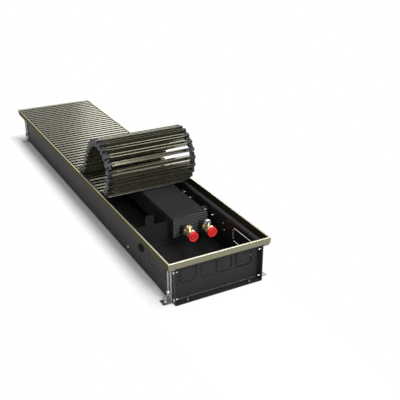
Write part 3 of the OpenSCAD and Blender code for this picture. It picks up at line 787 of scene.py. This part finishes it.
# %% Seeds for the links
LINK_EDGE = 0.3 * MM
END_REACH = 0.45 * pitch
link_seed = seed_mesh("link_seed", link_node, ONE_SLAT, LINK_EDGE, middle_slat_x)
last_link = seed_mesh("last_link", link_node, END_REACH, LINK_EDGE, first_slat_x)

# %% [markdown]
# The slats are anodised like the rims, but smoother, so that their tops shine.
# The links are moulded from black plastic.

# %% Finishes of the grille
slat_bronze = finish(
    "Bronze anodised slats",
    DRAWN,
    (0.150, 0.144, 0.096),
    (0.190, 0.182, 0.122),
    (0.16, 0.26),
    0.25,
    metallic=0.75,
    # Painted shade for the beads, the inside and the sides of the slats.
    painted_light=(0.02, 0.019, 0.015),
    stretch=(1.0, ALONG, 1.0),
)
link_plastic = finish(
    "Black hinge plastic",
    PEBBLED,
    (0.007, 0.007, 0.0075),
    (0.012, 0.012, 0.013),
    (0.36, 0.48),
    0.4,
    shine=0.35,
)

# %% [markdown]
# Three rows make the laid part: the slats, their links, and the shorter pair of
# links at the far end. All of them move on one body, because the laid part lifts
# off in one piece.

# %% The laid part
second_x = first_slat_x + pitch
rows = {
    "laid_slats": (slat_seed, slat_bronze, slat_node, laid_count, first_slat_x),
    "laid_links": (link_seed, link_plastic, link_node, laid_count - 1, second_x),
    "last_laid_links": (last_link, link_plastic, link_node, 1, first_slat_x),
}
for name, (seed, material, node, count, first_x) in rows.items():
    start = (first_x, 0.0, hinge_z)
    row = grown(name, row_tree, seed, material, Count=count, Start=start)
    settle(row, None, "grille_laid", slot_of[node], node)

# %% [markdown]
# A rolled-back slat starts at its hinge and points to the next one. The record
# gives every hinge, so the lean of a slat follows from two neighbours; the last
# slat lies flat and upside down on the laid part.

# %% The rolled-back part
places = {body: Vector(joint["pos_m"]) for body, joint in hinges.items()}
ordered = sorted(places)
for here, there in zip(ordered, ordered[1:] + [None]):
    hinge = places[here]
    step = places[there] - hinge if there else Vector((-pitch, 0, 0))
    lean = math.atan2(step.z, step.x)
    sizes = {"Hinge": tuple(hinge), "Turn": (0.0, -lean, 0.0)}
    node = f"grille_{here}"
    bar = grown(f"rolled_{here}", hinge_tree, free_slat_seed, slat_bronze, **sizes)
    settle(bar, None, here, slot_of[node], node)
    pair = grown(f"links_{here}", hinge_tree, link_seed, link_plastic, **sizes)
    settle(pair, None, here, "link_black", node)

# %% [markdown]
# ## Heat exchanger
#
# Thin fins are pressed onto two tubes. Each fin is bent into shallow waves,
# which stiffen the sheet, and has a collar round each tube that sets the
# distance to the next fin. The whole pack follows one rule, so one tree makes
# it: a grid is waved, thickened and set upright, two closed collars join it,
# and the same steps as in the row tree repeat the fin.

# %% Sizes of the fin pack
FIN_PITCH = 6 * MM
FIN_THICKNESS = 0.5 * MM
COLLAR_WALL = 0.6 * MM
COLLAR_SEAM = 0.1 * MM
fins_low, fins_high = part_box("exchanger_fins")
tubes_low, tubes_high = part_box("exchanger_tubes")
fins_middle = (fins_low + fins_high) / 2
tubes_middle = (tubes_low + tubes_high) / 2
fin_count = round((fins_high.x - fins_low.x - FIN_THICKNESS) / FIN_PITCH) + 1
tube_radius = (tubes_high.z - tubes_low.z) / 2
fin_sizes = {
    "Count": fin_count,
    "Start": ORIGIN,
    "Step": (FIN_PITCH, 0.0, 0.0),
    "Width": fins_high.y - fins_low.y,
    "Height": fins_high.z - fins_low.z,
    "Thickness": FIN_THICKNESS,
    "Waves": 12,
    "Wave depth": 0.3 * MM,
    "Collar radius": tube_radius + COLLAR_WALL,
    "Collar length": FIN_PITCH - COLLAR_SEAM,
    "Tube offset": (tubes_high.y - tubes_low.y) / 2 - tube_radius,
    "Tube shift": tubes_middle.y - fins_middle.y,
}
print("fins:", fin_count)

# %% One waved sheet
POINTS_PER_WAVE = 4.0
QUARTER = math.pi / 2


def joined(tree, *parts):
    """One geometry out of several."""
    join = put(tree, "GeometryNodeJoinGeometry")
    for part in parts:
        tree.links.new(part, join.inputs["Geometry"])
    return join.outputs["Geometry"]


def waved_grid(tree, given):
    """A flat grid whose points rise and fall along a sine."""
    columns = calc(tree, "MULTIPLY", given["Waves"], POINTS_PER_WAVE)
    grid = put(
        tree,
        "GeometryNodeMeshGrid",
        {
            "Size X": given["Width"],
            "Size Y": given["Height"],
            "Vertices X": calc(tree, "ADD", columns, 1.0),
            "Vertices Y": 2,
        },
    )
    place = put(tree, "GeometryNodeInputPosition")
    split = put(tree, "ShaderNodeSeparateXYZ", {"Vector": place.outputs[0]})
    share = calc(tree, "DIVIDE", split.outputs["X"], given["Width"])
    turns = calc(tree, "MULTIPLY", share, given["Waves"])
    wave = calc(tree, "SINE", calc(tree, "MULTIPLY", turns, math.tau))
    rise = calc(tree, "MULTIPLY", wave, given["Wave depth"])
    shift = put(tree, "ShaderNodeCombineXYZ", {"Z": rise})
    waved = put(
        tree,
        "GeometryNodeSetPosition",
        {"Geometry": grid.outputs["Mesh"], "Offset": shift.outputs[0]},
    )
    return waved.outputs["Geometry"]


def sheet(tree, given):
    """The waved grid with a thickness and a back, set upright across the tubes."""
    waved = waved_grid(tree, given)
    front = put(
        tree,
        "GeometryNodeExtrudeMesh",
        {"Mesh": waved, "Offset Scale": given["Thickness"], "Individual": False},
        mode="FACES",
    )
    back = put(tree, "GeometryNodeFlipFaces", {"Mesh": waved})
    closed = joined(tree, front.outputs["Mesh"], back.outputs["Mesh"])
    turn = {"Geometry": closed, "Rotation": (QUARTER, 0.0, QUARTER)}
    return put(tree, "GeometryNodeTransform", turn).outputs["Geometry"]


# %% Collars, and the whole pack
COLLAR_SIDES = 14


def collar(tree, given, side):
    """The sleeve of a fin round one of its two tubes."""
    sleeve = put(
        tree,
        "GeometryNodeMeshCylinder",
        {
            "Vertices": COLLAR_SIDES,
            "Side Segments": 1,
            "Radius": given["Collar radius"],
            "Depth": given["Collar length"],
        },
        fill_type="NGON",
    )
    across = calc(tree, "MULTIPLY", given["Tube offset"], side)
    moved = calc(tree, "ADD", across, given["Tube shift"])
    spot = put(tree, "ShaderNodeCombineXYZ", {"Y": moved})
    placed = put(
        tree,
        "GeometryNodeTransform",
        {
            "Geometry": sleeve.outputs["Mesh"],
            "Translation": spot.outputs[0],
            "Rotation": (0.0, QUARTER, 0.0),
        },
    )
    return placed.outputs["Geometry"]


def build_fins(tree, given):
    collars = [collar(tree, given, side) for side in (-1.0, 1.0)]
    fin = put(
        tree,
        "GeometryNodeMergeByDistance",
        {"Geometry": joined(tree, sheet(tree, given), *collars), "Distance": MERGE},
    )
    return in_a_row(tree, given, fin.outputs["Geometry"])


fin_tree = geometry_tree("Fin pack", build_fins, **fin_sizes)

# %% [markdown]
# The fins are dipped in black paint, which is thin and a little uneven on the
# sheets and glossier on the tubes. The ribbed end plates are pressed in the
# solid already, so they only get soft edges.

# %% Fins, tubes and end plates
fin_paint = finish(
    "Black fin paint",
    PEBBLED,
    (0.024, 0.024, 0.0245),
    (0.036, 0.036, 0.037),
    (0.4, 0.55),
    0.3,
)
tube_paint = finish(
    "Black tube paint",
    PEBBLED,
    (0.014, 0.014, 0.015),
    (0.022, 0.022, 0.023),
    (0.25, 0.38),
    0.2,
)
start = (fins_low.x, fins_middle.y, fins_middle.z)
nothing = bpy.data.meshes.new("empty")
fins = grown("fin_pack", fin_tree, nothing, fin_paint, Start=start, Count=fin_count)
settle(fins, None, "case", slot_of["exchanger_fins"], "exchanger_fins")
soft_piece("tube_run", tube_paint, 0, "exchanger_tubes")
for place in ("near", "far"):
    node = f"exchanger_end_plate_{place}"
    soft_piece(f"ribbed_plate_{place}", fin_paint, CUT_EDGE, node)

# %% [markdown]
# ## Valves and their covers
#
# Machined brass has crisp chamfers of about half a millimetre and fine turning
# lines. The red covers are moulded, and the rings in their fronts are marked
# as dark red, because little light gets down into them.

# %% Finishes of the fittings
brass = finish(
    "Machined brass",
    DRAWN,
    (0.90, 0.72, 0.40),
    (0.98, 0.84, 0.52),
    (0.16, 0.30),
    0.2,
    metallic=0.85,
    stretch=(1.0, 0.05, 0.05),
)
red_plastic = finish(
    "Red cap plastic",
    PEBBLED,
    (0.92, 0.035, 0.032),
    (0.98, 0.05, 0.046),
    (0.3, 0.42),
    0.15,
    coat=0.2,
    painted_light=(0.12, 0.001, 0.001),
)
chrome = finish(
    "Bright nickel",
    DRAWN,
    (0.30, 0.30, 0.30),
    (0.42, 0.42, 0.42),
    (0.20, 0.30),
    0.1,
    metallic=1.0,
    stretch=(1.0, 1.0, 0.05),
)

# %% Fittings
CHAMFER = 0.4 * MM
KNURL_EDGE = 0.15 * MM
RING_SKIN = 0.3 * MM
RING_DEPTH = 3 * MM
for way in ("flow", "return"):
    soft_piece(f"valve_{way}", brass, CHAMFER, f"valve_body_{way}")
    soft_piece(f"nut_{way}", brass, CHAMFER, f"union_nut_{way}")
    node = f"protective_cap_{way}"
    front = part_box(node)[1].x
    cover = soft_piece(f"cover_{way}", red_plastic, CHAMFER, node)
    paint_light(
        cover.data,
        lambda face: front - RING_DEPTH < face.center.x < front - RING_SKIN,
    )
soft_piece("dust_cover", brass, CHAMFER, "valve_dust_cap")
soft_piece("vent_knob", chrome, KNURL_EDGE, "air_vent_knob")

# %% [markdown]
# ## Feet, bolts and screws
#
# The feet are stamped from galvanised strip, with its grey grains. Fasteners
# are zinc plated, which is smoother and brighter. A black rubber grommet
# closes the hole for a cable.

# %% Finishes of the feet and fasteners
galvanised = finish(
    "Galvanised steel",
    SPANGLED,
    (0.30, 0.31, 0.32),
    (0.46, 0.47, 0.48),
    (0.36, 0.50),
    0.15,
    metallic=1.0,
)
zinc = finish(
    "Zinc-plated steel",
    SPANGLED,
    (0.44, 0.44, 0.44),
    (0.58, 0.58, 0.58),
    (0.22, 0.34),
    0.1,
    metallic=1.0,
)
rubber = finish(
    "Black rubber",
    PEBBLED,
    (0.004, 0.004, 0.004),
    (0.009, 0.009, 0.009),
    (0.6, 0.8),
    0.3,
    shine=0.2,
)

# %% Feet and fasteners
STAMPED_EDGE = 0.25 * MM
ROLLED_EDGE = 0.2 * MM
BOLT_EDGE = 0.3 * MM
MOULDED_EDGE = 0.3 * MM
for end in ("near", "far"):
    for side in ("left", "right"):
        foot = f"foot_{end}_{side}"
        soft_piece(f"{foot}_strip", galvanised, STAMPED_EDGE, foot)
soft_piece("clamp_bolts", zinc, BOLT_EDGE, "foot_clamp_bolts")
soft_piece("clamp_washers", zinc, ROLLED_EDGE, "foot_washers")
soft_piece("clamp_nuts", zinc, ROLLED_EDGE, "foot_nuts")
soft_piece("flange_screws", zinc, ROLLED_EDGE, "end_wall_screws")
soft_piece("wall_screws", zinc, ROLLED_EDGE, "support_screws")
soft_piece("grommet_rubber", rubber, MOULDED_EDGE, "cable_grommet")

# %% [markdown]
# ## Floor
#
# The heater stands on a white studio floor. Beside the trough's left wall the
# floor is shaded as it is, so that it keeps the soft shadow. Away from it the
# floor is plain white to the camera, and nearly so in the metal that mirrors
# it. The Light Path node tells which kind of ray has arrived.

# %% The floor's shape
FLOOR_HALF = 30.0
FLOOR_DROP = 0.3 * MM
corners = [(-1, -1), (1, -1), (1, 1), (-1, 1)]
floor_mesh = bpy.data.meshes.new("studio_floor")
floor_mesh.from_pydata(
    [(x * FLOOR_HALF, y * FLOOR_HALF, -FLOOR_DROP) for x, y in corners],
    [],
    [(0, 1, 2, 3)],
)
floor = new_object("studio_floor", floor_mesh)
print("floor:", 2 * FLOOR_HALF, "m wide")


# %% Who sees the plain background
def background_share(tree, mirrored):
    """1 for the camera and through glass, and less for what metal mirrors."""
    ray = put(tree, "ShaderNodeLightPath").outputs
    in_metal = calc(tree, "MULTIPLY", ray["Is Glossy Ray"], mirrored)
    direct = calc(tree, "MAXIMUM", ray["Is Camera Ray"], ray["Is Transmission Ray"])
    return calc(tree, "MAXIMUM", direct, in_metal)


# %% [markdown]
# Four fades say where the floor turns white: at the near end, behind the
# far end, to the left of the trough, and to its right from the middle on. Each
# is a range along one axis, and the strongest of them counts at any spot.

# %% Where the floor turns white
SHADED = 0.05
NEAR_FADE, FAR_FADE, LEFT_FADE = 30 * MM, 60 * MM, 42 * MM
NEARLY_WHITE = 0.96
paper = bpy.data.materials.new("White studio paper")
tree = fresh_tree(paper)
spot = put(tree, "ShaderNodeTexCoord")
split = put(tree, "ShaderNodeSeparateXYZ", {"Vector": spot.outputs["Object"]})
wall_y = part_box("trough")[0].y
far_x, near_x = cad_box[0].x, cad_box[1].x
zones = (
    ("X", near_x - NEAR_FADE, near_x, NEARLY_WHITE),
    ("X", far_x, far_x - FAR_FADE, 1.0),
    ("Y", wall_y, wall_y - LEFT_FADE, 1.0),
    ("Y", 0.0, cad_box[1].y, 1.0),
)
white = 0.0
for axis, first, last, strongest in zones:
    fade = ramp(tree, split.outputs[axis], (SHADED, strongest), (first, last))
    white = calc(tree, "MAXIMUM", white, fade)
print("fades:", len(zones))

# %% Floor finish
IN_METAL = 0.55
PAPER_WHITE = (0.97, 0.97, 0.97, 1.0)
matt = put(tree, "ShaderNodeBsdfDiffuse", {"Color": PAPER_WHITE})
glow = put(tree, "ShaderNodeEmission", {"Color": (*WHITE, 1.0), "Strength": 1.0})
share = calc(tree, "MULTIPLY", background_share(tree, IN_METAL), white)
both = put(
    tree, "ShaderNodeMixShader", {0: share, 1: matt.outputs[0], 2: glow.outputs[0]}
)
put(tree, "ShaderNodeOutputMaterial", {"Surface": both.outputs[0]})
floor_mesh.materials.append(paper)
print("floor finish:", len(tree.nodes), "nodes")

# %% [markdown]
# ## Light
#
# The room is white to the camera. As a light it is dim, and three soft boxes
# do the work. Metal mirrors a white wall low down and a darker ceiling, which
# gives the bronze its contrast.

# %% World
HORIZON = (0.3, 0.6)
WALL_TO_CEILING = (1.0, 0.2)
DIM_TO_WHITE = (0.3, 1.0)
world = bpy.data.worlds.new("Studio")
bpy.context.scene.world = world
tree = fresh_tree(world)
direction = put(tree, "ShaderNodeTexCoord").outputs["Generated"]
height = put(tree, "ShaderNodeSeparateXYZ", {"Vector": direction}).outputs["Z"]
paleness = ramp(tree, height, WALL_TO_CEILING, HORIZON)
level = ramp(tree, background_share(tree, paleness), DIM_TO_WHITE)
sky = put(tree, "ShaderNodeBackground", {"Color": (*WHITE, 1.0), "Strength": level})
put(tree, "ShaderNodeOutputWorld", {"Surface": sky.outputs[0]})
print("world:", len(tree.nodes), "nodes")


# %% Soft boxes
def turned_to(direction):
    """The rotation of a lamp or a camera that looks along a direction."""
    return direction.to_track_quat("-Z", "Y").to_euler()


def lamp(name, place, aim, size, power):
    """A soft box that points at a spot, with its length along X."""
    light = bpy.data.lights.new(name, "AREA")
    light.shape = "RECTANGLE"
    light.size, light.size_y = size
    light.energy = power
    obj = new_object(name, light)
    obj.location = place
    obj.rotation_euler = turned_to(Vector(aim) - Vector(place))
    print("lamp:", name, power, "W")


lamp("Overhead soft box", (0.6, 0.95, 2.3), (0.1, 0.0, 0.0), (2.4, 1.1), 36.0)
lamp("Back light", (-2.2, 1.2, 1.25), (0.0, 0.0, 0.0), (1.2, 1.2), 14.0)
lamp("Front fill", (2.5, 0.1, 1.3), (0.3, 0.0, 0.0), (1.2, 1.2), 55.0)

# %% [markdown]
# ## Camera
#
# The camera stands where the photograph was taken from: its place, direction
# and focal length were found from the heater's own straight edges.

# %% Camera
CAMERA_PLACE = Vector((1.73679, -0.65788, 0.85234))
LOOK_BACK = Vector((0.794599, -0.430279, 0.428337))
camera_data = bpy.data.cameras.new("Camera")
camera_data.sensor_width = 36.0
camera_data.lens = 59.783
camera = new_object("Camera", camera_data)
camera.location = CAMERA_PLACE
camera.rotation_euler = turned_to(-LOOK_BACK)
bpy.context.scene.camera = camera
bpy.context.scene.view_settings.view_transform = "Standard"
print("camera:", round(camera_data.lens, 1), "mm lens")
